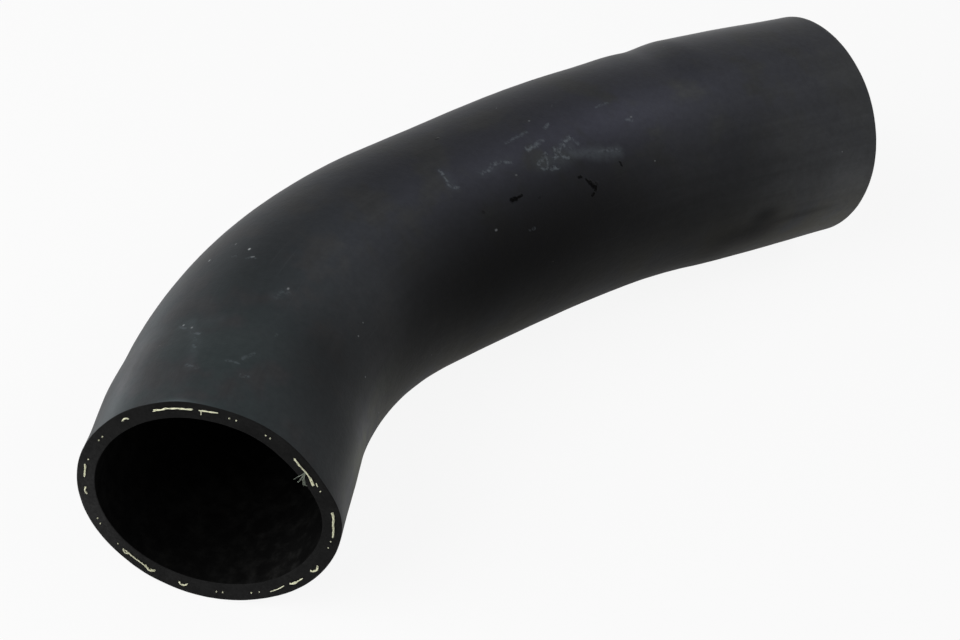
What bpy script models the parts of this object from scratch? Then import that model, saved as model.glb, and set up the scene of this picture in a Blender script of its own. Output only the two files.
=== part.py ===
# Air intake hose for an engine bay: one moulded rubber tube, open at both ends.
# It lies on its side on the ground, with its narrow end facing -Y. It bends to +X twice,
# and flares into a wider straight cuff. The origin is the middle of its box, at ground level.

import math

import bpy
from mathutils import Vector

MM = 0.001

# Outside diameters and the wall, in millimetres
NARROW_DIAMETER = 70.0
NECK_DIAMETER = 69.0
BODY_DIAMETER = 74.5
CUFF_DIAMETER = 77.0
WALL = 5.0

# Lengths along the centre line in millimetres and bend angles in degrees, from the narrow end
SEAT_LENGTH = 20.0
NECK_LENGTH = 16.0
MAIN_BEND_RADIUS = 131.0
MAIN_BEND_ANGLE = 38.0
MIDDLE_LENGTH = 49.0
SMALL_BEND_RADIUS = 280.0
SMALL_BEND_ANGLE = 11.0
FLARE_LENGTH = 16.0
CUFF_LENGTH = 54.0

# Facets: the sides of a ring, and how far apart the rings lie
SIDES = 48
RING_ANGLE = 3.0
RING_SPACING = 12.0
SHAPED_RING_SPACING = 4.0

RUBBER_COLOUR = (0.028, 0.029, 0.031, 1.0)
RUBBER_ROUGHNESS = 0.55


def clear_scene():
    for item in list(bpy.data.objects):
        bpy.data.objects.remove(item, do_unlink=True)


def rubber():
    material = bpy.data.materials.new("rubber")
    material.use_nodes = True
    shader = material.node_tree.nodes["Principled BSDF"]
    shader.inputs["Base Color"].default_value = RUBBER_COLOUR
    shader.inputs["Roughness"].default_value = RUBBER_ROUGHNESS
    shader.inputs["Metallic"].default_value = 0.0
    return material


# Each stretch of the hose: its length, the angle it turns through, and its ring spacing
def stretches():
    main_bend = MAIN_BEND_RADIUS * math.radians(MAIN_BEND_ANGLE)
    small_bend = SMALL_BEND_RADIUS * math.radians(SMALL_BEND_ANGLE)
    return [
        (SEAT_LENGTH, 0.0, RING_SPACING),
        (NECK_LENGTH, 0.0, SHAPED_RING_SPACING),
        (main_bend, MAIN_BEND_ANGLE, RING_SPACING),
        (MIDDLE_LENGTH, 0.0, RING_SPACING),
        (small_bend, SMALL_BEND_ANGLE, RING_SPACING),
        (FLARE_LENGTH, 0.0, SHAPED_RING_SPACING),
        (CUFF_LENGTH, 0.0, RING_SPACING),
    ]


def eased(share):
    share = min(max(share, 0.0), 1.0)
    return share * share * (3.0 - 2.0 * share)


# Outside radius at a distance along the centre line: straight seat, slight neck,
# even taper through both bends, then the flare up to the cuff
def outside_radius(along):
    lengths = [length for length, turn, spacing in stretches()]
    body_start = lengths[0] + lengths[1]
    body_end = body_start + lengths[2] + lengths[3] + lengths[4]
    neck = eased((along - lengths[0]) / NECK_LENGTH)
    body = min(max((along - body_start) / (body_end - body_start), 0.0), 1.0)
    flare = eased((along - body_end) / FLARE_LENGTH)
    diameter = NARROW_DIAMETER + (NECK_DIAMETER - NARROW_DIAMETER) * neck
    diameter += (BODY_DIAMETER - NECK_DIAMETER) * body
    diameter += (CUFF_DIAMETER - BODY_DIAMETER) * flare
    return diameter / 2.0


# Centre line as (point, radius) pairs; the underside touches the ground all the way,
# so the height of each point is the radius there
def centre_line():
    along = 0.0
    heading = 0.0
    spot = Vector((0.0, 0.0, 0.0))
    rings = [(spot.copy(), outside_radius(along))]
    for length, turn, spacing in stretches():
        steps = max(math.ceil(length / spacing), math.ceil(turn / RING_ANGLE))
        half_turn = math.radians(turn) / steps / 2.0
        chord = length / steps
        if half_turn > 0.0:
            chord *= math.sin(half_turn) / half_turn
        for step in range(steps):
            heading += half_turn
            spot += chord * Vector((math.sin(heading), math.cos(heading), 0.0))
            heading += half_turn
            along += length / steps
            rings.append((spot.copy(), outside_radius(along)))
    for point, radius in rings:
        point.z = radius
    return rings


# The outer surface, open at both ends
def outer_skin(rings):
    path = bpy.data.curves.new("hose_path", "CURVE")
    path.dimensions = "3D"
    path.twist_mode = "Z_UP"
    path.bevel_depth = MM
    path.bevel_resolution = SIDES // 2 - 2
    path.use_fill_caps = False
    line = path.splines.new("POLY")
    line.points.add(len(rings) - 1)
    for knot, (point, radius) in zip(line.points, rings):
        knot.co = (*(point * MM), 1.0)
        knot.radius = radius
    tube = bpy.data.objects.new("hose_path", path)
    bpy.context.scene.collection.objects.link(tube)
    evaluated = tube.evaluated_get(bpy.context.evaluated_depsgraph_get())
    skin = bpy.data.meshes.new_from_object(evaluated)
    bpy.data.objects.remove(tube, do_unlink=True)
    return skin


def make_hose(collection, material):
    skin = outer_skin(centre_line())
    skin.name = "intake_hose"
    skin.materials.clear()
    skin.materials.append(material)
    hose = bpy.data.objects.new("intake_hose", skin)
    collection.objects.link(hose)

    corners = [Vector(corner) for corner in hose.bound_box]
    low = Vector([min(corner[axis] for corner in corners) for axis in range(3)])
    high = Vector([max(corner[axis] for corner in corners) for axis in range(3)])
    hose.location = (-(low.x + high.x) / 2.0, -(low.y + high.y) / 2.0, -low.z)

    wall = hose.modifiers.new("wall", "SOLIDIFY")
    wall.thickness = WALL * MM
    wall.offset = -1.0
    wall.use_even_offset = True
    wall.use_rim = True

    skin.shade_smooth()
    skin.set_sharp_from_angle(angle=math.radians(40.0))
    return hose


def main():
    clear_scene()
    collection = bpy.data.collections.new("air_intake_hose")
    bpy.context.scene.collection.children.link(collection)
    make_hose(collection, rubber())


main()
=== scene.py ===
import math

import bpy
import numpy as np
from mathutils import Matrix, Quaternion, Vector, noise


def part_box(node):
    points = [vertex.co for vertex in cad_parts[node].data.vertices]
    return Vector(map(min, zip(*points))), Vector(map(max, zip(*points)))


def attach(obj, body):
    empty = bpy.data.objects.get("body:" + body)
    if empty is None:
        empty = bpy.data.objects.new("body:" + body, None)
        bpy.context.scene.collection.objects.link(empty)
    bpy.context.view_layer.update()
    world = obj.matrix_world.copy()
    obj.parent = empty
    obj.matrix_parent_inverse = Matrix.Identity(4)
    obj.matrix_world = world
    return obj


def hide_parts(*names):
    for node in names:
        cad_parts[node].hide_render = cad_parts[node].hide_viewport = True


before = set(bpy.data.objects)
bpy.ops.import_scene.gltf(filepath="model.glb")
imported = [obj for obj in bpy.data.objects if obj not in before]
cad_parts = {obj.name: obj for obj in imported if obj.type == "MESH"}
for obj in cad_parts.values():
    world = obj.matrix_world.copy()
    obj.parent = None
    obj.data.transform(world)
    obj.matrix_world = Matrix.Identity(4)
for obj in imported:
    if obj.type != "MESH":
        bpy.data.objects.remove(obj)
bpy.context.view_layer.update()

hoseNode = "intake_hose"
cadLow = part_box(hoseNode)[0]
mmPerMetre = 1000
noiseMiddle = (0.5, 0.5, 0.5)  # the mean of a noise node's colour
print("frame loaded:", sorted(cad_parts))


# Socket arithmetic: an expression on values adds its Math nodes to the tree

class Value:
    def __init__(self, tree, socket=None):
        self.tree = tree
        self.socket = socket

    def make(self, kind, settings=None, inputs=None, out=0):
        node = self.tree.nodes.new(kind)
        for name, setting in (settings or {}).items():
            setattr(node, name, setting)
        for name, value in (inputs or {}).items():
            if isinstance(value, Value):
                self.tree.links.new(value.socket, node.inputs[name])
            else:
                node.inputs[name].default_value = value
        return Value(self.tree, node.outputs[out] if len(node.outputs) else None)

    def math(self, operation, *values):
        return self.make("ShaderNodeMath", {"operation": operation}, dict(enumerate(values)))

    def vector(self, operation, *values, out=0):
        return self.make("ShaderNodeVectorMath", {"operation": operation}, dict(enumerate(values)), out)

    def __add__(self, other):
        return self.math("ADD", self, other)

    def __radd__(self, other):
        return self.math("ADD", other, self)

    def __sub__(self, other):
        return self.math("SUBTRACT", self, other)

    def __rsub__(self, other):
        return self.math("SUBTRACT", other, self)

    def __mul__(self, other):
        return self.math("MULTIPLY", self, other)

    def __rmul__(self, other):
        return self.math("MULTIPLY", other, self)

    def between(self, low, high):  # 0 at low, 1 at high, smooth in between
        settings = {"interpolation_type": "SMOOTHSTEP", "clamp": True}
        return self.make("ShaderNodeMapRange", settings, {"Value": self, "From Min": low, "From Max": high})

    def noise(self, scale, detail=3.0, roughness=0.55, out=0):
        inputs = {"Vector": self, "Scale": scale, "Detail": detail, "Roughness": roughness}
        return self.make("ShaderNodeTexNoise", {"noise_dimensions": "3D"}, inputs, out)

    def scaled(self, vector, size):
        return self.make("ShaderNodeVectorMath", {"operation": "SCALE"}, {0: vector, "Scale": size})

    def mixed(self, first, second):  # this value is the share of the second colour
        sockets = {0: self, 6: first, 7: second}  # the node's factor and its two colours
        return self.make("ShaderNodeMix", {"data_type": "RGBA"}, sockets, 2)


def newMaterial(name, specular):
    material = bpy.data.materials.new(name)
    material.use_nodes = True
    shader = material.node_tree.nodes["Principled BSDF"]
    shader.inputs["Specular IOR Level"].default_value = specular
    return material, shader, Value(material.node_tree)


def feed(shader, **links):
    for name, value in links.items():
        value.tree.links.new(value.socket, shader.inputs[name.replace("_", " ")])


def addObject(name, data):
    item = bpy.data.objects.new(name, data)
    bpy.context.scene.collection.objects.link(item)
    return item


# The hose: its real sizes in metres and degrees, from the narrow end

hose = {
    "narrowRadius": 0.035, "neckRadius": 0.0345, "bodyRadius": 0.03725, "cuffRadius": 0.0385,
    "wall": 0.005, "seat": 0.020, "neck": 0.016, "mainBendRadius": 0.131, "mainBendAngle": 38.0,
    "middle": 0.049, "smallBendRadius": 0.280, "smallBendAngle": 11.0, "flare": 0.016, "cuff": 0.054,
}
mainBend = hose["mainBendRadius"] * math.radians(hose["mainBendAngle"])
smallBend = hose["smallBendRadius"] * math.radians(hose["smallBendAngle"])
bendStart = hose["seat"] + hose["neck"]
middleStart = bendStart + mainBend
smallStart = middleStart + hose["middle"]
flareStart = smallStart + smallBend
cuffStart = flareStart + hose["flare"]
hoseLength = cuffStart + hose["cuff"]
narrowMouth = Vector((cadLow.x + hose["narrowRadius"], cadLow.y, 0.0))


def eased(share):
    share = np.clip(share, 0.0, 1.0)
    return share * share * (3.0 - 2.0 * share)


def outsideRadius(along):
    toNeck = eased((along - hose["seat"]) / hose["neck"])
    toFlare = np.clip((along - bendStart) / (flareStart - bendStart), 0.0, 1.0)
    toCuff = eased((along - flareStart) / hose["flare"])
    radius = hose["narrowRadius"] + (hose["neckRadius"] - hose["narrowRadius"]) * toNeck
    radius = radius + (hose["bodyRadius"] - hose["neckRadius"]) * toFlare
    return radius + (hose["cuffRadius"] - hose["bodyRadius"]) * toCuff


def headingAt(along):
    turned = np.clip(along - bendStart, 0.0, mainBend) / hose["mainBendRadius"]
    return turned + np.clip(along - smallStart, 0.0, smallBend) / hose["smallBendRadius"]


routeStep = 0.0001
routeAlong = np.arange(0.0, hoseLength + routeStep, routeStep)
routeHeading = headingAt(routeAlong + routeStep / 2)
routeX = np.concatenate(([0.0], np.cumsum(np.sin(routeHeading))[:-1])) * routeStep
routeY = np.concatenate(([0.0], np.cumsum(np.cos(routeHeading))[:-1])) * routeStep


def centreAt(along):
    inside = np.clip(along, 0.0, hoseLength)
    extra = along - inside  # past an end the line runs on straight
    heading = headingAt(inside)
    x = narrowMouth.x + np.interp(inside, routeAlong, routeX) + extra * np.sin(heading)
    y = narrowMouth.y + np.interp(inside, routeAlong, routeY) + extra * np.cos(heading)
    return np.stack([x, y, outsideRadius(inside)], axis=-1)


def onHose(along, turn, radius):  # turn in radians: 0 at the +X side, a quarter turn at the top
    heading = headingAt(np.clip(along, 0.0, hoseLength))
    side = np.stack([np.cos(heading), -np.sin(heading), np.zeros_like(heading)], axis=-1)
    up = np.array([0.0, 0.0, 1.0])
    around = np.cos(turn)[..., None] * side + np.sin(turn)[..., None] * up
    return centreAt(along) + radius[..., None] * around


# One loop of the wall's section as (distance along, depth below the outside, face)

section = {"columns": 240, "outerStep": 0.0015, "innerStep": 0.0030, "edgeRadius": 0.0002, "edgeSteps": 4,
           "faceSteps": 14}


def wallLoop():
    wall = hose["wall"]
    edge = section["edgeRadius"]
    loop = []
    for along in np.linspace(edge, hoseLength - edge, round(hoseLength / section["outerStep"])):
        loop.append((along, 0.0, "outer"))
    # The section's corners: distance along, depth, and which way the end faces
    corners = [(hoseLength, 0.0, 1), (hoseLength, wall, 1), (0.0, wall, -1), (0.0, 0.0, -1)]
    for number, (place, depth, out) in enumerate(corners):
        turnsIn = 1 if depth == 0.0 else -1
        for step in range(1, section["edgeSteps"]):
            angle = step / section["edgeSteps"] * math.pi / 2
            if number in (1, 3):
                angle = math.pi / 2 - angle
            spot = place - out * edge * (1 - math.sin(angle))
            loop.append((spot, depth + turnsIn * edge * (1 - math.cos(angle)), "cut"))
        if number in (0, 2):
            for share in np.linspace(0.0, 1.0, section["faceSteps"]):
                low, high = edge, wall - edge
                deep = low + (high - low) * share if number == 0 else high - (high - low) * share
                loop.append((place, deep, "cut"))
        if number == 1:
            for along in np.linspace(hoseLength - edge, edge, round(hoseLength / section["innerStep"])):
                loop.append((along, wall, "bore"))
    return loop


# Relief of the moulding and of the two hand-cut ends, in metres

relief = {
    "broad": 0.00020, "broadScale": 26.0,
    "fine": 0.00004, "fineScale": 160.0, "fineShift": 3.0,
    "cutWave": 0.00035, "cutWaveScale": 45.0, "cutWaveShift": 11.0, "cutWaveMiddle": 0.5,
    "cutFine": 0.00005, "cutFineScale": 420.0, "cutFineShift": 7.0, "cutFade": 0.006,
    "takenUp": 0.8,  # share of a swelling that the wall takes up before the bore
}
swellings = [  # mm along, turn in degrees, reach along in mm, reach round in degrees, height in mm
    (28, 160, 26, 42, 0.95),
    (0, 148, 8, 16, -0.40),
    (0, 12, 7, 22, 0.75),
    (4, 335, 16, 26, 0.75),
    (0, 285, 10, 26, 0.30),
    (0, 245, 9, 14, 0.35),
    (0, 106, 3, 9, 0.30),
    (0, 30, 12, 16, -0.60),
    (8, 164, 9, 22, -0.40),
    (55, 345, 34, 22, 0.35),
    (85, 135, 28, 24, -0.35),
    (160, 136, 16, 22, 0.25),
    (190, 322, 22, 24, 0.45),
    (223, 131, 9, 22, 0.65),
    (262, 318, 34, 24, 0.30),
    (292, 25, 14, 40, 0.45),
    (296, 52, 10, 30, 0.60),
    (294, 132, 18, 14, -0.60),
]
boreSwellings = [(0, 2, 16, 22, 0.45), (0, 186, 16, 22, 0.28), (0, 56, 14, 14, -0.30)]
# Where the near cut stands out, as turn and reach in degrees, then mm: its outer edge, and the whole cut
lips = [(278, 34, 1.00), (322, 18, 0.45), (105, 10, -0.10)]
ledges = [(40, 23, 1.15)]

nearEnd, farEnd = 0, 1


def noiseOn(points, scale, shift=0.0):
    flat = points.reshape(-1, 3) * scale + shift
    return np.array([noise.noise(Vector(point)) for point in flat]).reshape(points.shape[:-1])


def degreesFrom(angle, turn):  # the short way round
    return np.degrees((turn - math.radians(angle) + math.pi) % (2 * math.pi) - math.pi)


def swellAt(along, turn, bumps):
    height = np.zeros_like(along)
    for place, angle, reachAlong, reachRound, tall in bumps:
        gap = ((along * mmPerMetre - place) / reachAlong) ** 2 + (degreesFrom(angle, turn) / reachRound) ** 2
        height = height + tall / mmPerMetre * np.exp(-gap)
    return height


def standAt(turn, places):
    stands = np.zeros_like(turn)
    for angle, reachRound, out in places:
        stands = stands + out / mmPerMetre * np.exp(-(degreesFrom(angle, turn) / reachRound) ** 2)
    return stands


def cutWaveAt(end, turn, depth):  # metres that the knife's cut lies outside its true plane
    ring = np.stack([np.cos(turn), np.sin(turn), np.full_like(turn, end)], axis=-1) * hose["narrowRadius"]
    wave = noiseOn(ring, relief["cutWaveScale"], relief["cutWaveShift"] + end) - relief["cutWaveMiddle"]
    wave = relief["cutWave"] * wave
    if end == farEnd:
        return wave
    return wave + standAt(turn, ledges) + standAt(turn, lips) * (1 - depth / hose["wall"])


def hosePoints(loop, along, depth, turn):
    radius = outsideRadius(np.clip(along, 0.0, hoseLength)) - depth
    points = onHose(along, turn, radius)
    outward = relief["broad"] * noiseOn(points, relief["broadScale"])
    outward += relief["fine"] * noiseOn(points, relief["fineScale"], relief["fineShift"])
    outward += swellAt(along, turn, swellings) * (1 - relief["takenUp"] * depth / hose["wall"])
    outward += swellAt(along, turn, boreSwellings) * depth / hose["wall"]
    onCut = np.array([row[2] == "cut" for row in loop])[:, None]
    crumb = relief["cutFine"] * noiseOn(points, relief["cutFineScale"], relief["cutFineShift"]) * onCut
    nearWave, farWave = cutWaveAt(nearEnd, turn[0], depth), cutWaveAt(farEnd, turn[0], depth)
    nearFade = eased(1 - along / relief["cutFade"])
    farFade = eased(1 - (hoseLength - along) / relief["cutFade"])
    shift = -(nearWave + crumb) * nearFade + (farWave + crumb) * farFade
    return onHose(along + shift, turn, radius + outward)


def slotNumbers(loop, along, turn):  # the material of each face
    slots = {"cut": 0, "bore": 1, "outer": 2}
    numbers = []
    for here, there in zip(loop, loop[1:] + loop[:1]):
        face = "cut" if "cut" in (here[2], there[2]) else here[2]
        numbers.append([slots[face]])
    numbers = np.array(numbers) * np.ones((1, section["columns"]), int)
    for extra, region in enumerate(markedRegions, 1):
        (alongLow, alongHigh), (turnLow, turnHigh) = region["along"], region["turn"]
        inside = (along * mmPerMetre > alongLow) & (along * mmPerMetre < alongHigh)
        inside &= (np.degrees(turn) > turnLow) & (np.degrees(turn) < turnHigh)
        numbers = np.where(inside & (numbers == slots["outer"]), slots["outer"] + extra, numbers)
    return numbers


def addHoseMap(mesh, along):  # u is the share of a turn, v the share of the length
    rows, columns = along.shape
    column = np.tile(np.arange(columns), (rows, 1))
    share, shareNext = column / columns, (column + 1) / columns
    place, placeNext = along / hoseLength, np.roll(along, -1, axis=0) / hoseLength
    corners = np.stack([share, place, shareNext, place, shareNext, placeNext, share, placeNext], axis=-1)
    hoseMap = mesh.uv_layers.new(name="hoseMap")
    hoseMap.data.foreach_set("uv", corners.reshape(-1).astype(np.float32))


def buildHose(materials):
    loop = wallLoop()
    rows, columns = len(loop), section["columns"]
    along = np.array([row[0] for row in loop])[:, None] * np.ones((1, columns))
    depth = np.array([row[1] for row in loop])[:, None] * np.ones((1, columns))
    turn = np.linspace(0.0, 2 * math.pi, columns, endpoint=False)[None, :] * np.ones((rows, 1))
    vertices = hosePoints(loop, along, depth, turn).reshape(-1, 3)
    row, column = np.meshgrid(np.arange(rows), np.arange(columns), indexing="ij")
    nextRow, nextColumn = (row + 1) % rows, (column + 1) % columns
    faces = np.stack([row * columns + column, row * columns + nextColumn,
                      nextRow * columns + nextColumn, nextRow * columns + column], axis=-1).reshape(-1, 4)
    mesh = bpy.data.meshes.new("intakeHoseBody")
    mesh.from_pydata(vertices.tolist(), [], faces.tolist())
    mesh.update()
    numbers = slotNumbers(loop, along, turn)
    mesh.polygons.foreach_set("material_index", numbers.reshape(-1).astype(np.int32))
    mesh.polygons.foreach_set("use_smooth", np.ones(len(faces), bool))
    addHoseMap(mesh, along)
    for material in materials:
        mesh.materials.append(material)
    return addObject("intakeHoseBody", mesh)


# Marks on the outside as strokes: strength, half width in mm, then points as (mm along, turn in degrees)

shoulderScuffs = [
    (0.60, 0.45, (127.6, 82), (126.6, 77), (126.6, 73.5)),
    (0.60, 0.60, (126.6, 73.5), (127.2, 71.3), (128.0, 70.6)),
    (0.60, 0.55, (138.5, 72), (141.5, 72), (144.5, 74), (150, 71.5)),
    (0.30, 0.50, (154, 82), (158.5, 82), (163, 82.5)),
    (0.65, 0.65, (158.5, 74), (162, 73.5), (165.5, 75)),
    (0.55, 0.50, (169.8, 81), (172.6, 82)),
    (0.65, 0.60, (163.3, 68), (161, 65.5), (158.8, 65), (159, 62)),
    (0.65, 0.60, (159, 62), (161.5, 60), (165, 59.5)),
    (0.60, 0.50, (163.5, 67.5), (162, 64), (160.8, 62)),
    (0.65, 0.55, (167.8, 69), (166.7, 65), (164.5, 63.5)),
    (0.70, 0.65, (175.3, 70.5), (172, 70), (168.8, 67)),
    (0.65, 0.60, (168.8, 67), (168.4, 63.5), (169.8, 62)),
    (0.45, 0.80, (183, 58), (187, 57.5), (190.3, 55.3)),
    (0.40, 0.50, (172.5, 66), (173.5, 62.5)),
    (0.35, 0.45, (176.0, 69), (176.8, 65)),
    (0.35, 0.40, (192.3, 81), (197, 81)),
    (0.45, 0.50, (199.4, 69), (201, 68)),
    (0.45, 0.35, (179, 92), (179.3, 92)),
    (0.28, 0.30, (145.2, 37), (147.5, 37.3)),
]
shoulderHaze = [
    (0.24, 1.60, (172, 62.5), (177, 61), (184, 58)),
    (0.20, 1.80, (178, 59), (184, 56.5), (190, 55)),
    (0.14, 2.60, (160, 64), (167, 63), (173, 66)),
    (0.08, 1.40, (128, 79), (127, 71)),
    (0.07, 1.60, (139, 72), (150, 73)),
]
shoulderGouges = [
    (1.0, 0.85, (143.3, 53.6), (144.6, 53.8)),
    (1.0, 0.50, (145.3, 54), (147.2, 54.4)),
    (1.0, 0.45, (170, 51), (171.4, 50.4)),
    (1.0, 0.50, (172.8, 48.6), (173.4, 47)),
    (1.0, 0.80, (173.8, 46.4), (174.6, 44.0)),
    (1.0, 0.55, (175.4, 43.4), (175.0, 41.6)),
    (1.0, 0.50, (174.0, 40.6), (172.8, 40.0)),
    (0.5, 0.50, (175.8, 45.0), (176.3, 44.2)),
    (0.9, 0.40, (188.5, 50), (188.9, 48)),
    (0.5, 0.55, (131.5, 54), (132, 53.7)),
    (0.4, 0.35, (152.6, 49.5), (153, 49.4)),
    (1.0, 0.45, (137.5, 103), (137.8, 103)),
]
elbowScuffs = [
    (0.40, 0.45, (32.5, 122), (31, 119)),
    (0.45, 0.55, (29.4, 115), (28, 111)),
    (0.30, 0.60, (27, 112.5), (22, 110)),
    (0.30, 0.55, (14.5, 110), (13.8, 105)),
    (0.32, 0.40, (18, 94), (17.8, 89)),
    (0.25, 0.40, (20, 88), (23, 84)),
    (0.40, 0.35, (13.6, 86), (14, 83)),
    (0.22, 1.10, (47.5, 86), (50.7, 83)),
    (0.35, 0.32, (59.8, 109), (60.4, 105)),
    (0.35, 0.40, (60, 118), (60.2, 115)),
    (0.30, 0.40, (66, 124), (66.2, 124)),
    (0.22, 0.40, (33, 79), (33.4, 79)),
]
elbowHaze = [
    (0.09, 1.50, (34, 118), (25, 111), (14, 108)),
    (0.05, 1.80, (34, 110), (34.5, 104)),
    (0.06, 1.60, (47, 87), (51, 83)),
]
shoulderSpecks = [
    (0.30, 0.28, (133.3, 44), (133.6, 44)),
    (0.22, 0.25, (167.5, 88.5), (167.7, 88.5)),
    (0.20, 0.25, (149.0, 64), (149.2, 64)),
    (0.25, 0.25, (201.5, 69.5), (201.8, 69.5)),
]
elbowSpecks = [
    (0.90, 0.28, (63.5, 111), (63.7, 111)),
    (0.55, 0.28, (60.2, 130), (60.4, 130)),
    (0.45, 0.26, (52.0, 83), (52.3, 83)),
    (0.50, 0.26, (32.8, 121), (33.0, 121)),
    (0.40, 0.26, (31.0, 116), (31.2, 116)),
    (0.30, 0.24, (60.4, 107), (60.6, 106)),
    (0.25, 0.24, (66.0, 121), (66.2, 121)),
]
markedRegions = [  # mm along and turn in degrees that a marked skin covers
    {"along": (122, 206), "turn": (34, 106), "scuffs": shoulderScuffs, "haze": shoulderHaze,
     "specks": shoulderSpecks, "gouges": shoulderGouges},
    {"along": (8, 72), "turn": (74, 136), "scuffs": elbowScuffs, "haze": elbowHaze, "specks": elbowSpecks,
     "gouges": []},
]
strokeSize = {  # sway and fray in mm, with the scale and detail of their noise
    "round": 0.0365,  # radius in metres at which a turn is counted in mm
    "sway": 1.8, "swayNoise": (260.0, 1.0), "fray": 0.65, "frayNoise": (1100.0, 1.0),
    "leastSquare": 0.01, "inPlane": (1.0, 1.0, 0.0),
    "scuffSoft": 0.95, "hazeSoft": 1.0, "speckSoft": 0.9, "gougeSoft": 0.45,
}


def strokeMask(maker, spot, strokes, soft):
    total = None
    for strength, halfWidth, *points in strokes:
        for first, second in zip(points, points[1:]):
            start, end = [(along, math.radians(turn) * strokeSize["round"] * mmPerMetre, 0.0)
                          for along, turn in (first, second)]
            run = tuple(b - a for a, b in zip(start, end))
            square = max(sum(step * step for step in run), strokeSize["leastSquare"])
            toSpot = maker.vector("SUBTRACT", spot, start)
            share = maker.vector("DOT_PRODUCT", toSpot, run, out="Value") * (1 / square)
            share = maker.make("ShaderNodeClamp", {}, {"Value": share})
            across = maker.vector("SUBTRACT", toSpot, maker.scaled(run, share))
            gap = maker.vector("LENGTH", across, out="Value")
            mask = gap.between(halfWidth * (1 + soft), halfWidth * (1 - soft)) * strength
            total = mask if total is None else maker.math("MAXIMUM", total, mask)
    return total


def strayed(maker, place, spot):  # the spot moved a little, so that a stroke sways and frays
    for kind in ("sway", "fray"):
        drift = place.noise(*strokeSize[kind + "Noise"], out="Color")
        drift = maker.scaled(maker.vector("SUBTRACT", drift, noiseMiddle), strokeSize[kind])
        spot = maker.vector("ADD", spot, maker.vector("MULTIPLY", drift, strokeSize["inPlane"]))
    return spot


# Rubber of the outside, with the grey film that is left from moulding, and painted light and shade in its
# tone

skin = {  # a noise is its scale, detail and roughness, and a range is where a mask fades in
    "dark": (0.0240, 0.0248, 0.0260, 1), "light": (0.0385, 0.0398, 0.0420, 1),
    "dust": (0.150, 0.172, 0.190, 1), "speck": (0.40, 0.42, 0.43, 1), "gouge": (0.0005, 0.0005, 0.0005, 1),
    "specular": 0.05, "sheen": 0.09, "sheenRoughness": 0.30, "coatRoughness": 0.35,
    "roughness": 0.46, "streakRoughness": 0.14, "dustRoughness": 0.3,
    "streaks": (7.0, 3.0), "streakNoise": (1.0, 4.0), "streakShare": 0.36,
    "fineStreaks": (34.0, 7.0), "fineStreakNoise": (1.0, 2.0), "fineStreakShare": 0.08,
    "patchNoise": (24.0, 4.0), "patchesShare": 0.56, "shadeRange": (0.34, 0.66),
    "mottleNoise": (60.0, 3.0, 0.6), "mottleRange": (0.35, 0.54),
    "bloomNoise": (430.0, 4.0, 0.7), "bloom": 0.50,
    "speckScale": 210.0, "speckSize": 0.07, "speckCore": 0.5,
    "speckChoice": (0.90, 0.92), "speckStrength": 0.35,
    "hairlineRange": (0.66, 0.74), "hairlinePatches": (0.5, 0.6), "hairlineStrength": 0.04,
    "crumbleNoise": (820.0, 4.0, 0.7), "scuffRange": (0.36, 0.64), "hazeRange": (0.0, 0.6),
    "gougeRange": (0.30, 0.42), "gougeDepth": 4.0,
    "grainNoise": (1500.0, 2.0, 0.6), "grainHeight": 0.6, "poreNoise": (420.0, 1.0), "poreHeight": 0.6,
    "bump": 0.22, "bumpDistance": 0.0004,
}
# Tone patches, partly the grey film's own tone and partly painted light and shade: lighter rims, a painted
# highlight on the lip of the cut, a darker belly, and a painted shadow in the notch by the flare
toneAndPaintedLight = [  # mm along, turn in degrees, reach along in mm, reach round in degrees, stops lighter or darker
    (150, 27, 60, 26, -3.6),
    (90, 22, 22, 16, -0.55),
    (205, 5, 26, 20, -0.45),
    (165, 72, 75, 11, 0.50),
    (140, 99, 85, 14, -0.70),
    (290, 355, 24, 38, 1.40),
    (246, 348, 9, 6.5, -3.2),
    (250, 359, 5, 4, -1.6),
    (264, 353, 15, 2.5, -0.8),
    (215, 327, 32, 12, -1.5),
    (236, 46, 12, 10, -0.25),
    (12, 8, 26, 18, 0.45),
    (15, 144, 45, 13, 1.40),
    (32, 54, 18, 18, -1.05),
    (60, 104, 20, 14, -0.50),
    (20, 78, 45, 34, 0.23),
    (25, 12, 30, 12, 1.40),
    (46, 358, 16, 12, 0.80),
    (162, 354, 18, 12, -1.20),
    (260, 20, 10, 34, 0.35),
    (78, 40, 9, 14, 0.45),
    (222, 112, 16, 10, 0.35),
    (158, 112, 20, 12, -0.20),
    (205, 66, 26, 18, 0.50),
    (265, 58, 32, 26, 0.33),
    (85, 68, 26, 24, 0.28),
    (275, 134, 26, 12, 1.30),
    (180, 342, 50, 20, -0.80),
    (88, 6, 26, 13, -0.60),
    (226, 338, 22, 12, -1.30),
    (200, 30, 22, 14, 0.80),
    (0, 106, 1.3, 9, 1.30),
]
gloss = [  # the same, with the weight of a thin coat that brightens the rims
    (150, 150, 260, 34, 0.07),
    (262, 148, 34, 26, 0.60),
]
# Painted tints of the light: bluer on top of the hose and warmer low on its side, broken up by the mottle
paintedLightTints = [  # the same, with a share and the colour that shows through
    (150, 88, 220, 48, 0.72, (0.0262, 0.0279, 0.0354, 1)),
    (150, 332, 220, 28, 0.90, (0.0375, 0.0358, 0.0270, 1)),
    (35, 2, 40, 20, 0.80, (0.0385, 0.0392, 0.0310, 1)),
    (12, 98, 62, 50, 0.80, (0.0262, 0.0345, 0.0352, 1)),
    (180, 72, 66, 26, 0.75, (0.0318, 0.0326, 0.0440, 1)),
]


def patchShare(maker, along, around, place, turn, reachAlong, reachRound):
    far = (along * hoseLength * mmPerMetre - place) * (1 / reachAlong)
    off = (1 - maker.math("COSINE", around - math.radians(turn))) * (2 / math.radians(reachRound) ** 2)
    return maker.math("EXPONENT", (far * far + off) * -1.0)


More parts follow.
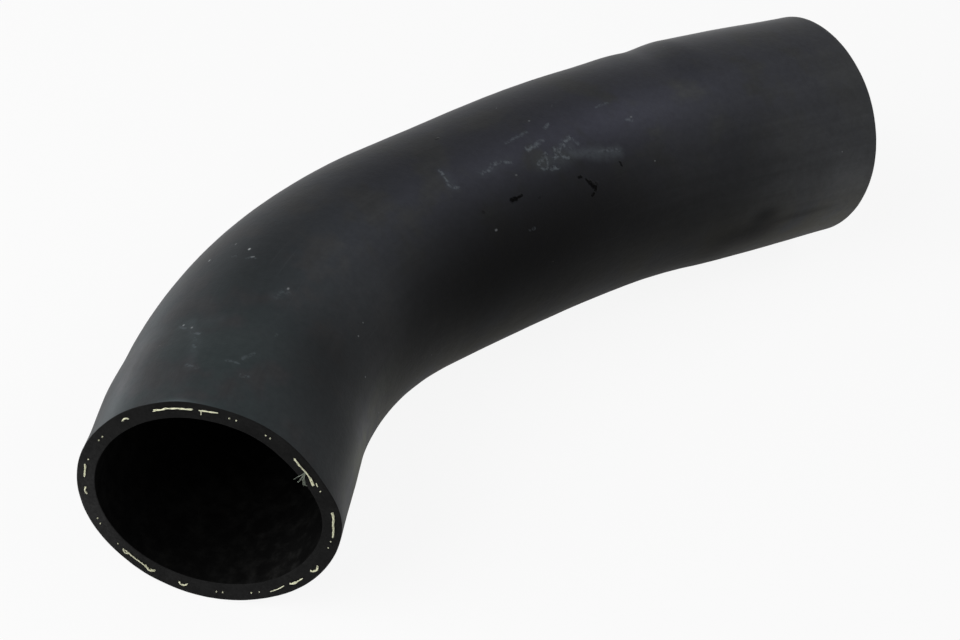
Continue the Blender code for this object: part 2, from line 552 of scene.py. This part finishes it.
def patchSum(maker, along, around, patches):
    total = None
    for *where, amount in patches:
        patch = patchShare(maker, along, around, *where) * amount
        total = patch if total is None else total + patch
    return total


def patchTone(maker, along, around, patches):
    return maker.math("POWER", 2.0, patchSum(maker, along, around, patches))


def hoseSpot(maker):  # share along the hose and turn round it in radians
    hoseMap = maker.make("ShaderNodeUVMap", {"uv_map": "hoseMap"})
    around = maker.make("ShaderNodeSeparateXYZ", {}, {0: hoseMap}, "X") * (2 * math.pi)
    return maker.make("ShaderNodeSeparateXYZ", {}, {0: hoseMap}, "Y"), around


def bumpOf(maker, height, rubber):
    sizes = {"Strength": rubber["bump"], "Distance": rubber["bumpDistance"], "Height": height}
    return maker.make("ShaderNodeBump", {}, sizes)


def speckMask(maker, place):  # dots in a few chosen cells
    dots = maker.make("ShaderNodeTexVoronoi", {}, {"Vector": place, "Scale": skin["speckScale"]})
    cell = Value(maker.tree, dots.socket.node.outputs["Color"])
    chosen = maker.make("ShaderNodeSeparateColor", {}, {0: cell}).between(*skin["speckChoice"])
    dot = dots.between(skin["speckSize"], skin["speckSize"] * skin["speckCore"])
    return dot * chosen * skin["speckStrength"]


# The skin's colour, with the painted light and shade of the tone patches and the painted tints of the light
def colourWithPaintedLight(maker, place, along, around, shade):
    colour = shade.between(*skin["shadeRange"]).mixed(skin["dark"], skin["light"])
    mottle = place.noise(*skin["mottleNoise"]).between(*skin["mottleRange"])
    for *where, share, tint in paintedLightTints:
        colour = (patchShare(maker, along, around, *where) * mottle * share).mixed(colour, tint)
    bloom = place.noise(*skin["bloomNoise"]) * skin["bloom"] + (1 - skin["bloom"] / 2)
    return maker.scaled(colour, patchTone(maker, along, around, toneAndPaintedLight) * bloom)


def skinMaterial(name, scuffs, haze, specks, gouges):
    material, shader, maker = newMaterial(name, skin["specular"])
    shader.inputs["Sheen Weight"].default_value = skin["sheen"]
    shader.inputs["Sheen Roughness"].default_value = skin["sheenRoughness"]
    shader.inputs["Coat Roughness"].default_value = skin["coatRoughness"]
    place = maker.make("ShaderNodeTexCoord", out="Object")
    along, around = hoseSpot(maker)
    sideways, upwards = maker.math("COSINE", around), maker.math("SINE", around)

    def lengthwise(turns, lengths):  # coordinates that close round the hose, stretched along it
        parts = {0: sideways * turns, 1: upwards * turns, 2: along * lengths}
        return maker.make("ShaderNodeCombineXYZ", {}, parts)

    streaks = lengthwise(*skin["streaks"]).noise(*skin["streakNoise"])
    fineStreaks = lengthwise(*skin["fineStreaks"]).noise(*skin["fineStreakNoise"])
    patches = place.noise(*skin["patchNoise"])
    shade = streaks * skin["streakShare"] + fineStreaks * skin["fineStreakShare"]
    shade = shade + patches * skin["patchesShare"]
    colour = colourWithPaintedLight(maker, place, along, around, shade)
    speck = speckMask(maker, place)
    hairlines = fineStreaks.between(*skin["hairlineRange"]) * patches.between(*skin["hairlinePatches"])
    dust = hairlines * skin["hairlineStrength"]
    height = place.noise(*skin["grainNoise"]) * skin["grainHeight"]
    height = height + place.noise(*skin["poreNoise"]) * skin["poreHeight"]
    if scuffs:
        flat = {0: along * (hoseLength * mmPerMetre), 1: around * (strokeSize["round"] * mmPerMetre)}
        spot = maker.make("ShaderNodeCombineXYZ", {}, flat)
        speck = maker.math("MAXIMUM", speck, strokeMask(maker, spot, specks, strokeSize["speckSoft"]))
        spot = strayed(maker, place, spot)
        crumble = place.noise(*skin["crumbleNoise"])
        rubbed = strokeMask(maker, spot, scuffs, strokeSize["scuffSoft"])
        rubbed = rubbed * crumble.between(*skin["scuffRange"])
        clouded = strokeMask(maker, spot, haze, strokeSize["hazeSoft"])
        clouded = clouded * crumble.between(*skin["hazeRange"])
        dust = maker.math("MAXIMUM", maker.math("MAXIMUM", dust, rubbed), clouded)
    colour = speck.mixed(dust.mixed(colour, skin["dust"]), skin["speck"])
    if gouges:
        gouge = strokeMask(maker, spot, gouges, strokeSize["gougeSoft"])
        gouge = gouge * crumble.between(*skin["gougeRange"])
        colour = gouge.mixed(colour, skin["gouge"])
        height = height - gouge * skin["gougeDepth"]
        feed(shader, Metallic=gouge)
    roughness = skin["roughness"] + streaks * skin["streakRoughness"] + dust * skin["dustRoughness"]
    feed(shader, Base_Color=colour, Normal=bumpOf(maker, height, skin), Roughness=roughness)
    feed(shader, Coat_Weight=patchSum(maker, along, around, gloss))
    return material


# Rubber of the cut faces and of the bore, each with tone patches like those above: the cut faces lighter on
# the left and low on the right, and the bore lighter near its mouth, low on the right

cutRubber = {
    "dark": (0.0045, 0.0045, 0.0045, 1), "light": (0.0090, 0.0090, 0.0090, 1), "specular": 0.06,
    "fine": (900.0, 4.0, 0.65), "coarse": (160.0, 3.0), "fineShare": 0.6, "shadeRange": (0.35, 0.65),
    "coarseHeight": 0.8, "bump": 0.45, "bumpDistance": 0.0005, "roughness": 0.62, "fineRoughness": 0.2,
    "toneAndPaintedLight": [(0, 200, 60, 48, 1.5), (0, 300, 60, 60, 0.5)],
}
# The bore's colours are darker than the cut rubber's: painted shade inside the hollow
boreRubberPaintedDark = {
    "dark": (0.0012, 0.0012, 0.0012, 1), "light": (0.0075, 0.0075, 0.0072, 1), "specular": 0.04,
    "fine": (240.0, 5.0, 0.7), "coarse": (30.0, 3.0), "fineShare": 0.6, "shadeRange": (0.42, 0.7),
    "coarseHeight": 0.0, "bump": 0.3, "bumpDistance": 0.0004, "roughness": 0.7, "fineRoughness": 0.15,
    "toneAndPaintedLight": [(6, 318, 16, 22, 1.6)],
}


def plainMaterial(name, rubber):
    material, shader, maker = newMaterial(name, rubber["specular"])
    place = maker.make("ShaderNodeTexCoord", out="Object")
    fine, coarse = place.noise(*rubber["fine"]), place.noise(*rubber["coarse"])
    shade = fine * rubber["fineShare"] + coarse * (1 - rubber["fineShare"])
    colour = shade.between(*rubber["shadeRange"]).mixed(rubber["dark"], rubber["light"])
    tone = patchTone(maker, *hoseSpot(maker), rubber["toneAndPaintedLight"])
    bump = bumpOf(maker, fine + coarse * rubber["coarseHeight"], rubber)
    roughness = rubber["roughness"] + fine * rubber["fineRoughness"]
    feed(shader, Base_Color=maker.scaled(colour, tone), Normal=bump, Roughness=roughness)
    return material


materials = [plainMaterial("cutRubber", cutRubber), plainMaterial("boreRubberPaintedDark", boreRubberPaintedDark)]
materials.append(skinMaterial("mouldedRubber", [], [], [], []))
for number, region in enumerate(markedRegions, 1):
    marks = [region[kind] for kind in ("scuffs", "haze", "specks", "gouges")]
    materials.append(skinMaterial(f"markedRubber{number}", *marks))
print("rubber mixed:", [material.name for material in materials])

body = buildHose(materials)
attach(body, "root")
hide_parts(hoseNode)
print("hose built:", len(body.data.polygons), "faces")


# Cut ends of the reinforcing yarn: bundles of strands along short paths in the cut faces

yarn = {"wanderNoise": (900.0, 1.0), "sides": 5,
        "stub": 0.42, "stubIn": 0.8, "stubOut": 0.15, "stubLean": 0.3}  # mm, and the lean in degrees
yarnBundle = {"Strands": 14, "Strand Radius": 0.00007, "Spread": 0.62, "Wander": 0.35, "Twist": 1400.0,
              "Step": 0.0003, "Seed": 4}
frayBundle = {**yarnBundle, "Strands": 4, "Strand Radius": 0.000022, "Spread": 1.0, "Wander": 1.1,
              "Twist": 0.0}
nearYarn = [  # thickness in mm, then points as (turn in degrees, radius in mm, mm above the cut)
    (0.75, (118.6, 33.0, 0.05), (117.2, 33.2, 0.20)),
    (0.50, (117.0, 33.1, 0.15), (115.1, 33.1, 0.20), (112.5, 33.4, 0.20)),
    ((0.40, 0.52), (112.8, 33.3, 0.10), (107.4, 33.3, 0.25), (100.6, 33.2, 0.10)),
    (0.38, (97.6, 33.2, 0.10), (93.8, 33.4, 0.20), (89.4, 33.6, 0.05)),
    (0.22, (96.7, 33.0, 0.10), (96.8, 31.8, 0.05)),
    ((0.62, 0.38), (49.9, 32.6, 0.05), (47.5, 32.5, 0.20), (45.1, 32.6, 0.30), (42.1, 32.6, 0.30)),
    ((0.38, 0.55), (42.3, 32.6, 0.20), (38.5, 32.5, 0.30), (36.0, 32.2, 0.30), (33.2, 31.8, 0.10)),
    ((0.25, 0.50), (39.9, 32.6, 0.20), (37.0, 32.6, 0.25), (33.2, 32.2, 0.10)),
    (0.28, (33.9, 33.0, 0.05), (31.9, 32.8, 0.10)),
    ((0.95, 0.62), (14.5, 33.7, 0.05), (11, 33.7, 0.30), (5, 33.6, 0.25), (358.8, 33.8, 0.05)),
    (0.70, (332.5, 33.2, 0.05), (333.6, 33.8, 0.20), (335.8, 34.0, 0.25), (337.6, 33.5, 0.05)),
    (0.62, (318.1, 33.0, 0.10), (320.4, 33.2, 0.25), (322.2, 33.3, 0.20)),
    (0.35, (321.8, 33.3, 0.15), (325.7, 33.4, 0.05)),
    (0.22, (306.1, 33.3, 0.05), (310.1, 33.1, 0.15), (314.4, 32.8, 0.05)),
    (0.55, (260.5, 32.5, 0.05), (261.4, 33.0, 0.20), (263.2, 32.9, 0.20), (264.3, 32.3, 0.05)),
    (0.40, (228.9, 32.6, 0.05), (230.9, 33.1, 0.20), (232.4, 32.6, 0.20)),
    (0.32, (230.2, 32.5, 0.10), (236.5, 32.5, 0.20), (243.2, 32.7, 0.20)),
    (0.75, (242.6, 32.6, 0.10), (245.2, 33.1, 0.25), (247.8, 32.6, 0.05)),
    (0.50, (188.0, 32.8, 0.05), (189.6, 33.1, 0.20), (191.9, 32.8, 0.05)),
    (0.55, (173.4, 33.2, 0.05), (175.0, 32.9, 0.20), (181.0, 32.9, 0.10)),
    (0.50, (135.9, 32.8, 0.05), (134.6, 33.2, 0.20), (133.2, 33.1, 0.20), (132.6, 32.6, 0.05)),
]
nearStubs = [  # turn in degrees, radius in mm
    (83.8, 32.9), (80.6, 33.0), (66.3, 32.7), (64.0, 32.7), (28.4, 32.8), (355.4, 33.4), (351.0, 33.4),
    (300.3, 32.7), (296.1, 32.7), (281.8, 32.6), (278.7, 32.6), (224.8, 32.5), (210.6, 32.6), (207.2, 32.5),
    (169.3, 32.6), (154.5, 32.6), (151.3, 32.5),
]
# Filaments that fan out of the frayed end over the bore: thickness at the root and the tip, then points
fray = [
    ((0.16, 0.14), (42.0, 32.6, 0.3), (41.4, 31.3, 0.5), (41.4, 30.1, 0.8), (41.1, 28.8, 1.0)),
    ((0.16, 0.36), (41.7, 32.5, 0.3), (39.9, 30.9, 0.6), (39.0, 30.0, 0.9), (38.4, 29.1, 1.1)),
    ((0.30, 0.34), (41.5, 32.5, 0.3), (39.2, 31.1, 0.6), (37.5, 30.5, 0.9), (35.7, 30.1, 1.0)),
    ((0.30, 0.50), (41.4, 32.4, 0.3), (39.1, 31.2, 0.5), (37.1, 30.7, 0.8), (35.4, 30.3, 1.0)),
    ((0.10, 0.10), (37.0, 30.8, 0.9), (35.5, 30.6, 1.0), (34.7, 30.9, 0.9)),
]
farCourses = {  # dashes in degrees and mm, which a sine makes uneven and lets stray
    "count": 14, "dash": 10.0, "uneven": 0.4, "unevenTurn": 2.4, "pair": 3.2, "thick": 0.6,
    "radius": 36.0, "stray": 0.35, "strayTurn": 1.7, "bow": 0.2, "ends": 0.05, "crown": 0.2,
}


def stubPoints(turn, radius, lean=0.0):
    return [(turn, radius, -yarn["stubIn"]), (turn + lean, radius, yarn["stubOut"])]


def farPaths():
    paths = []
    for course in range(farCourses["count"]):
        first = course * 360 / farCourses["count"]
        uneven = 1 + farCourses["uneven"] * math.sin(farCourses["unevenTurn"] * course)
        last = first + farCourses["dash"] * uneven
        radius = farCourses["radius"] + farCourses["stray"] * math.sin(farCourses["strayTurn"] * course)
        ends, crown = farCourses["ends"], farCourses["crown"]
        middle = ((first + last) / 2, radius + farCourses["bow"], crown)
        paths.append((farEnd, farCourses["thick"], [(first, radius, ends), middle, (last, radius, ends)]))
        for side in (last + farCourses["pair"], last + 2 * farCourses["pair"]):
            paths.append((farEnd, yarn["stub"], stubPoints(side, radius)))
    return paths


def yarnPaths():
    paths = [(nearEnd, thick, points) for thick, *points in nearYarn]
    paths += [(nearEnd, yarn["stub"], stubPoints(*place, yarn["stubLean"])) for place in nearStubs]
    return paths + farPaths()


def pathObject(name, paths):
    curve = bpy.data.curves.new(name, "CURVE")
    curve.dimensions = "3D"
    ends = {nearEnd: (0.0, -1, hose["narrowRadius"]), farEnd: (hoseLength, 1, hose["cuffRadius"])}
    for end, thick, points in paths:
        face, out, outside = ends[end]
        spline = curve.splines.new("POLY")
        spline.points.add(len(points) - 1)
        turns = np.radians([point[0] for point in points])
        radii = np.array([point[1] for point in points]) / mmPerMetre
        above = np.array([point[2] for point in points]) / mmPerMetre
        wave = cutWaveAt(end, turns, outside - radii)
        places = onHose(face + out * (above + wave), turns, radii)
        thickness = np.linspace(*thick, len(points)) if isinstance(thick, tuple) else [thick] * len(points)
        for point, place, size in zip(spline.points, places, thickness):
            point.co = (*place, 1.0)
            point.radius = size / mmPerMetre / 2
    return addObject(name, curve)


def strandTree():
    tree = bpy.data.node_groups.new("strandBundle", "GeometryNodeTree")
    sockets = [("Geometry", "NodeSocketGeometry"), ("Strands", "NodeSocketInt"),
               ("Strand Radius", "NodeSocketFloat"), ("Spread", "NodeSocketFloat"),
               ("Wander", "NodeSocketFloat"), ("Twist", "NodeSocketFloat"), ("Step", "NodeSocketFloat"),
               ("Seed", "NodeSocketInt"), ("Material", "NodeSocketMaterial")]
    for name, kind in sockets:
        tree.interface.new_socket(name, in_out="INPUT", socket_type=kind)
    tree.interface.new_socket("Geometry", in_out="OUTPUT", socket_type="NodeSocketGeometry")
    maker = Value(tree)
    given = tree.nodes.new("NodeGroupInput")
    taken = {name: Value(tree, given.outputs[name]) for name, kind in sockets}

    smooth = maker.make("GeometryNodeCurveSplineType", {"spline_type": "CATMULL_ROM"},
                        {"Curve": taken["Geometry"]})
    paths = maker.make("GeometryNodeResampleCurve", {"mode": "LENGTH"},
                       {"Curve": smooth, "Length": taken["Step"]})
    bundle = maker.make("GeometryNodeDuplicateElements", {"domain": "SPLINE"},
                        {"Geometry": paths, "Amount": taken["Strands"]})
    index = maker.make("GeometryNodeInputIndex")
    scatter = maker.make("FunctionNodeRandomValue", {"data_type": "FLOAT_VECTOR"},
                         {0: (-1.0, -1.0, -1.0), 1: (1.0, 1.0, 1.0), "ID": index, "Seed": taken["Seed"]})
    perStrand = {"data_type": "FLOAT_VECTOR", "domain": "CURVE"}
    scatter = maker.make("GeometryNodeFieldOnDomain", perStrand, {0: scatter})
    radius = maker.make("GeometryNodeInputRadius")
    tangent = maker.make("GeometryNodeInputTangent")
    run = maker.make("GeometryNodeSplineParameter", out="Length")
    turned = maker.make("ShaderNodeVectorRotate", {"rotation_type": "AXIS_ANGLE"},
                        {"Vector": scatter, "Axis": tangent, "Angle": run * taken["Twist"]})
    where = maker.make("GeometryNodeInputPosition")
    apart = maker.vector("ADD", where, scatter)
    drift = maker.vector("SUBTRACT", apart.noise(*yarn["wanderNoise"], out="Color"), noiseMiddle)
    offset = maker.vector("ADD", turned, maker.scaled(drift, taken["Wander"] * 2.0))
    offset = maker.scaled(offset, radius * taken["Spread"])
    moved = maker.make("GeometryNodeSetPosition", {}, {"Geometry": bundle, "Offset": offset})
    plain = maker.make("GeometryNodeSetCurveRadius", {}, {"Curve": moved, "Radius": 1.0})
    circle = maker.make("GeometryNodeCurvePrimitiveCircle", {},
                        {"Resolution": yarn["sides"], "Radius": taken["Strand Radius"]})
    tubes = maker.make("GeometryNodeCurveToMesh", {},
                       {"Curve": plain, "Profile Curve": circle, "Fill Caps": True})
    real = maker.make("GeometryNodeRealizeInstances", {}, {"Geometry": tubes})
    done = maker.make("GeometryNodeSetMaterial", {}, {"Geometry": real, "Material": taken["Material"]})
    tree.links.new(done.socket, tree.nodes.new("NodeGroupOutput").inputs["Geometry"])
    return tree


def bundlePiece(name, paths, tree, settings):
    holder = pathObject(name + "Paths", paths)
    modifier = holder.modifiers.new("strands", "NODES")
    modifier.node_group = tree
    for item in tree.interface.items_tree:
        if item.in_out == "INPUT" and item.name in settings:
            modifier[item.identifier] = settings[item.name]
    evaluated = holder.evaluated_get(bpy.context.evaluated_depsgraph_get())
    mesh = bpy.data.meshes.new_from_object(evaluated)
    bpy.data.objects.remove(holder)
    mesh.name = name
    return addObject(name, mesh)


yarnFinish = {
    "cream": (0.84, 0.84, 0.62, 1), "creamSoiled": (0.46, 0.46, 0.34, 1),
    "wisp": (0.36, 0.40, 0.33, 1), "wispSoiled": (0.14, 0.17, 0.15, 1),
    "soil": (700.0, 3.0, 0.6), "fibre": (5000.0, 2.0), "soilShare": 0.8, "soilRange": (0.45, 0.75),
    "specular": 0.2, "roughness": 0.8, "fibreRoughness": 0.15,
}


def yarnMaterial(name, clean, soiled):
    material, shader, maker = newMaterial(name, yarnFinish["specular"])
    place = maker.make("ShaderNodeTexCoord", out="Object")
    soil, fibre = place.noise(*yarnFinish["soil"]), place.noise(*yarnFinish["fibre"])
    soiling = soil * yarnFinish["soilShare"] + fibre * (1 - yarnFinish["soilShare"])
    colour = soiling.between(*yarnFinish["soilRange"]).mixed(clean, soiled)
    feed(shader, Base_Color=colour, Roughness=yarnFinish["roughness"] + fibre * yarnFinish["fibreRoughness"])
    return material


cream = yarnMaterial("creamYarn", yarnFinish["cream"], yarnFinish["creamSoiled"])
wisps = yarnMaterial("frayedYarn", yarnFinish["wisp"], yarnFinish["wispSoiled"])
strands = strandTree()
frayPaths = [(nearEnd, thick, points) for thick, *points in fray]
yarnPiece = bundlePiece("reinforcingYarn", yarnPaths(), strands, {**yarnBundle, "Material": cream})
frayPiece = bundlePiece("frayedYarn", frayPaths, strands, {**frayBundle, "Material": wisps})
for piece in (yarnPiece, frayPiece):
    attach(piece, "root")
    print(piece.name, "built:", len(piece.data.polygons), "faces")


# Camera, floor and soft light

view = {"azimuth": 1.66, "elevation": 40.13, "roll": 12.42, "distance": 0.6065, "lens": 69.2,
        "sensorWidth": 36.0, "clipStart": 0.01, "target": (-0.01418, 0.00494, 0.0)}


def buildCamera():
    camera = addObject("camera", bpy.data.cameras.new("camera"))
    azimuth, elevation = math.radians(view["azimuth"]), math.radians(view["elevation"])
    back = Vector((math.sin(azimuth) * math.cos(elevation), -math.cos(azimuth) * math.cos(elevation),
                   math.sin(elevation)))
    camera.location = Vector(view["target"]) + back * view["distance"]
    camera.rotation_mode = "QUATERNION"
    roll = Quaternion((0.0, 0.0, 1.0), math.radians(view["roll"]))
    camera.rotation_quaternion = (-back).to_track_quat("-Z", "Y") @ roll
    camera.data.lens = view["lens"]
    camera.data.sensor_width = view["sensorWidth"]
    camera.data.clip_start = view["clipStart"]
    bpy.context.scene.camera = camera


studio = {"floorSize": 6.0, "floorDrop": 0.0002, "floorGrey": 0.85, "floorWhite": 0.9, "floorMirrored": 0.35,
          "white": (1, 1, 1, 1), "ambient": 0.15}
softboxes = [
    {"name": "keyBox", "at": (-0.7, -0.7, 0.7), "size": 0.8, "power": 10.1},
    {"name": "leftBox", "at": (-1.1, 0.0, 0.35), "size": 0.8, "power": 2.6},
    {"name": "rightBox", "at": (0.8, 0.0, 0.8), "size": 0.8, "power": 1.8},
    {"name": "backBox", "at": (0.7, 0.7, 0.7), "size": 0.8, "power": 1.6},
]


def raysThatSee(maker):  # what the camera sees, and what glossy and clear surfaces show
    rays = maker.make("ShaderNodeLightPath").socket.node
    names = ("Is Camera Ray", "Is Glossy Ray", "Is Transmission Ray")
    camera, glossy, clear = [Value(maker.tree, rays.outputs[name]) for name in names]
    return camera, maker.math("MAXIMUM", glossy, clear)


def floorMaterial():
    material = bpy.data.materials.new("paleFloor")
    material.use_nodes = True
    material.node_tree.nodes.clear()
    maker = Value(material.node_tree)
    matt = maker.make("ShaderNodeBsdfDiffuse", {}, {"Color": (studio["floorGrey"],) * 3 + (1,)})
    white = maker.make("ShaderNodeEmission", {}, {"Color": studio["white"], "Strength": 1.0})
    camera, mirrored = raysThatSee(maker)
    share = maker.math("MAXIMUM", camera * studio["floorWhite"], mirrored * studio["floorMirrored"])
    both = maker.make("ShaderNodeMixShader", {}, {0: share, 1: matt, 2: white})
    maker.make("ShaderNodeOutputMaterial", {}, {"Surface": both})
    return material


def buildFloor():
    half = studio["floorSize"] / 2
    corners = [(-half, -half, 0), (half, -half, 0), (half, half, 0), (-half, half, 0)]
    floorMesh = bpy.data.meshes.new("floor")
    floorMesh.from_pydata(corners, [], [(0, 1, 2, 3)])
    floorMesh.materials.append(floorMaterial())
    floor = addObject("floor", floorMesh)
    floor.location.z = -studio["floorDrop"]


def buildSky():
    world = bpy.data.worlds.new("studioWhite")
    bpy.context.scene.world = world
    world.use_nodes = True
    world.node_tree.nodes.clear()
    maker = Value(world.node_tree)
    plain = maker.math("MAXIMUM", *raysThatSee(maker))
    strength = studio["ambient"] + plain * (1.0 - studio["ambient"])
    sky = maker.make("ShaderNodeBackground", {}, {"Color": studio["white"], "Strength": strength})
    maker.make("ShaderNodeOutputWorld", {}, {"Surface": sky})


def buildSoftboxes():
    for box in softboxes:
        light = bpy.data.lights.new(box["name"], "AREA")
        light.size = box["size"]
        light.energy = box["power"]
        lamp = addObject(box["name"], light)
        lamp.location = box["at"]
        lamp.rotation_mode = "QUATERNION"
        lamp.rotation_quaternion = (-Vector(box["at"])).to_track_quat("-Z", "Y")


buildCamera()
buildFloor()
buildSky()
buildSoftboxes()
bpy.context.scene.view_settings.view_transform = "Standard"
print("camera and studio built")
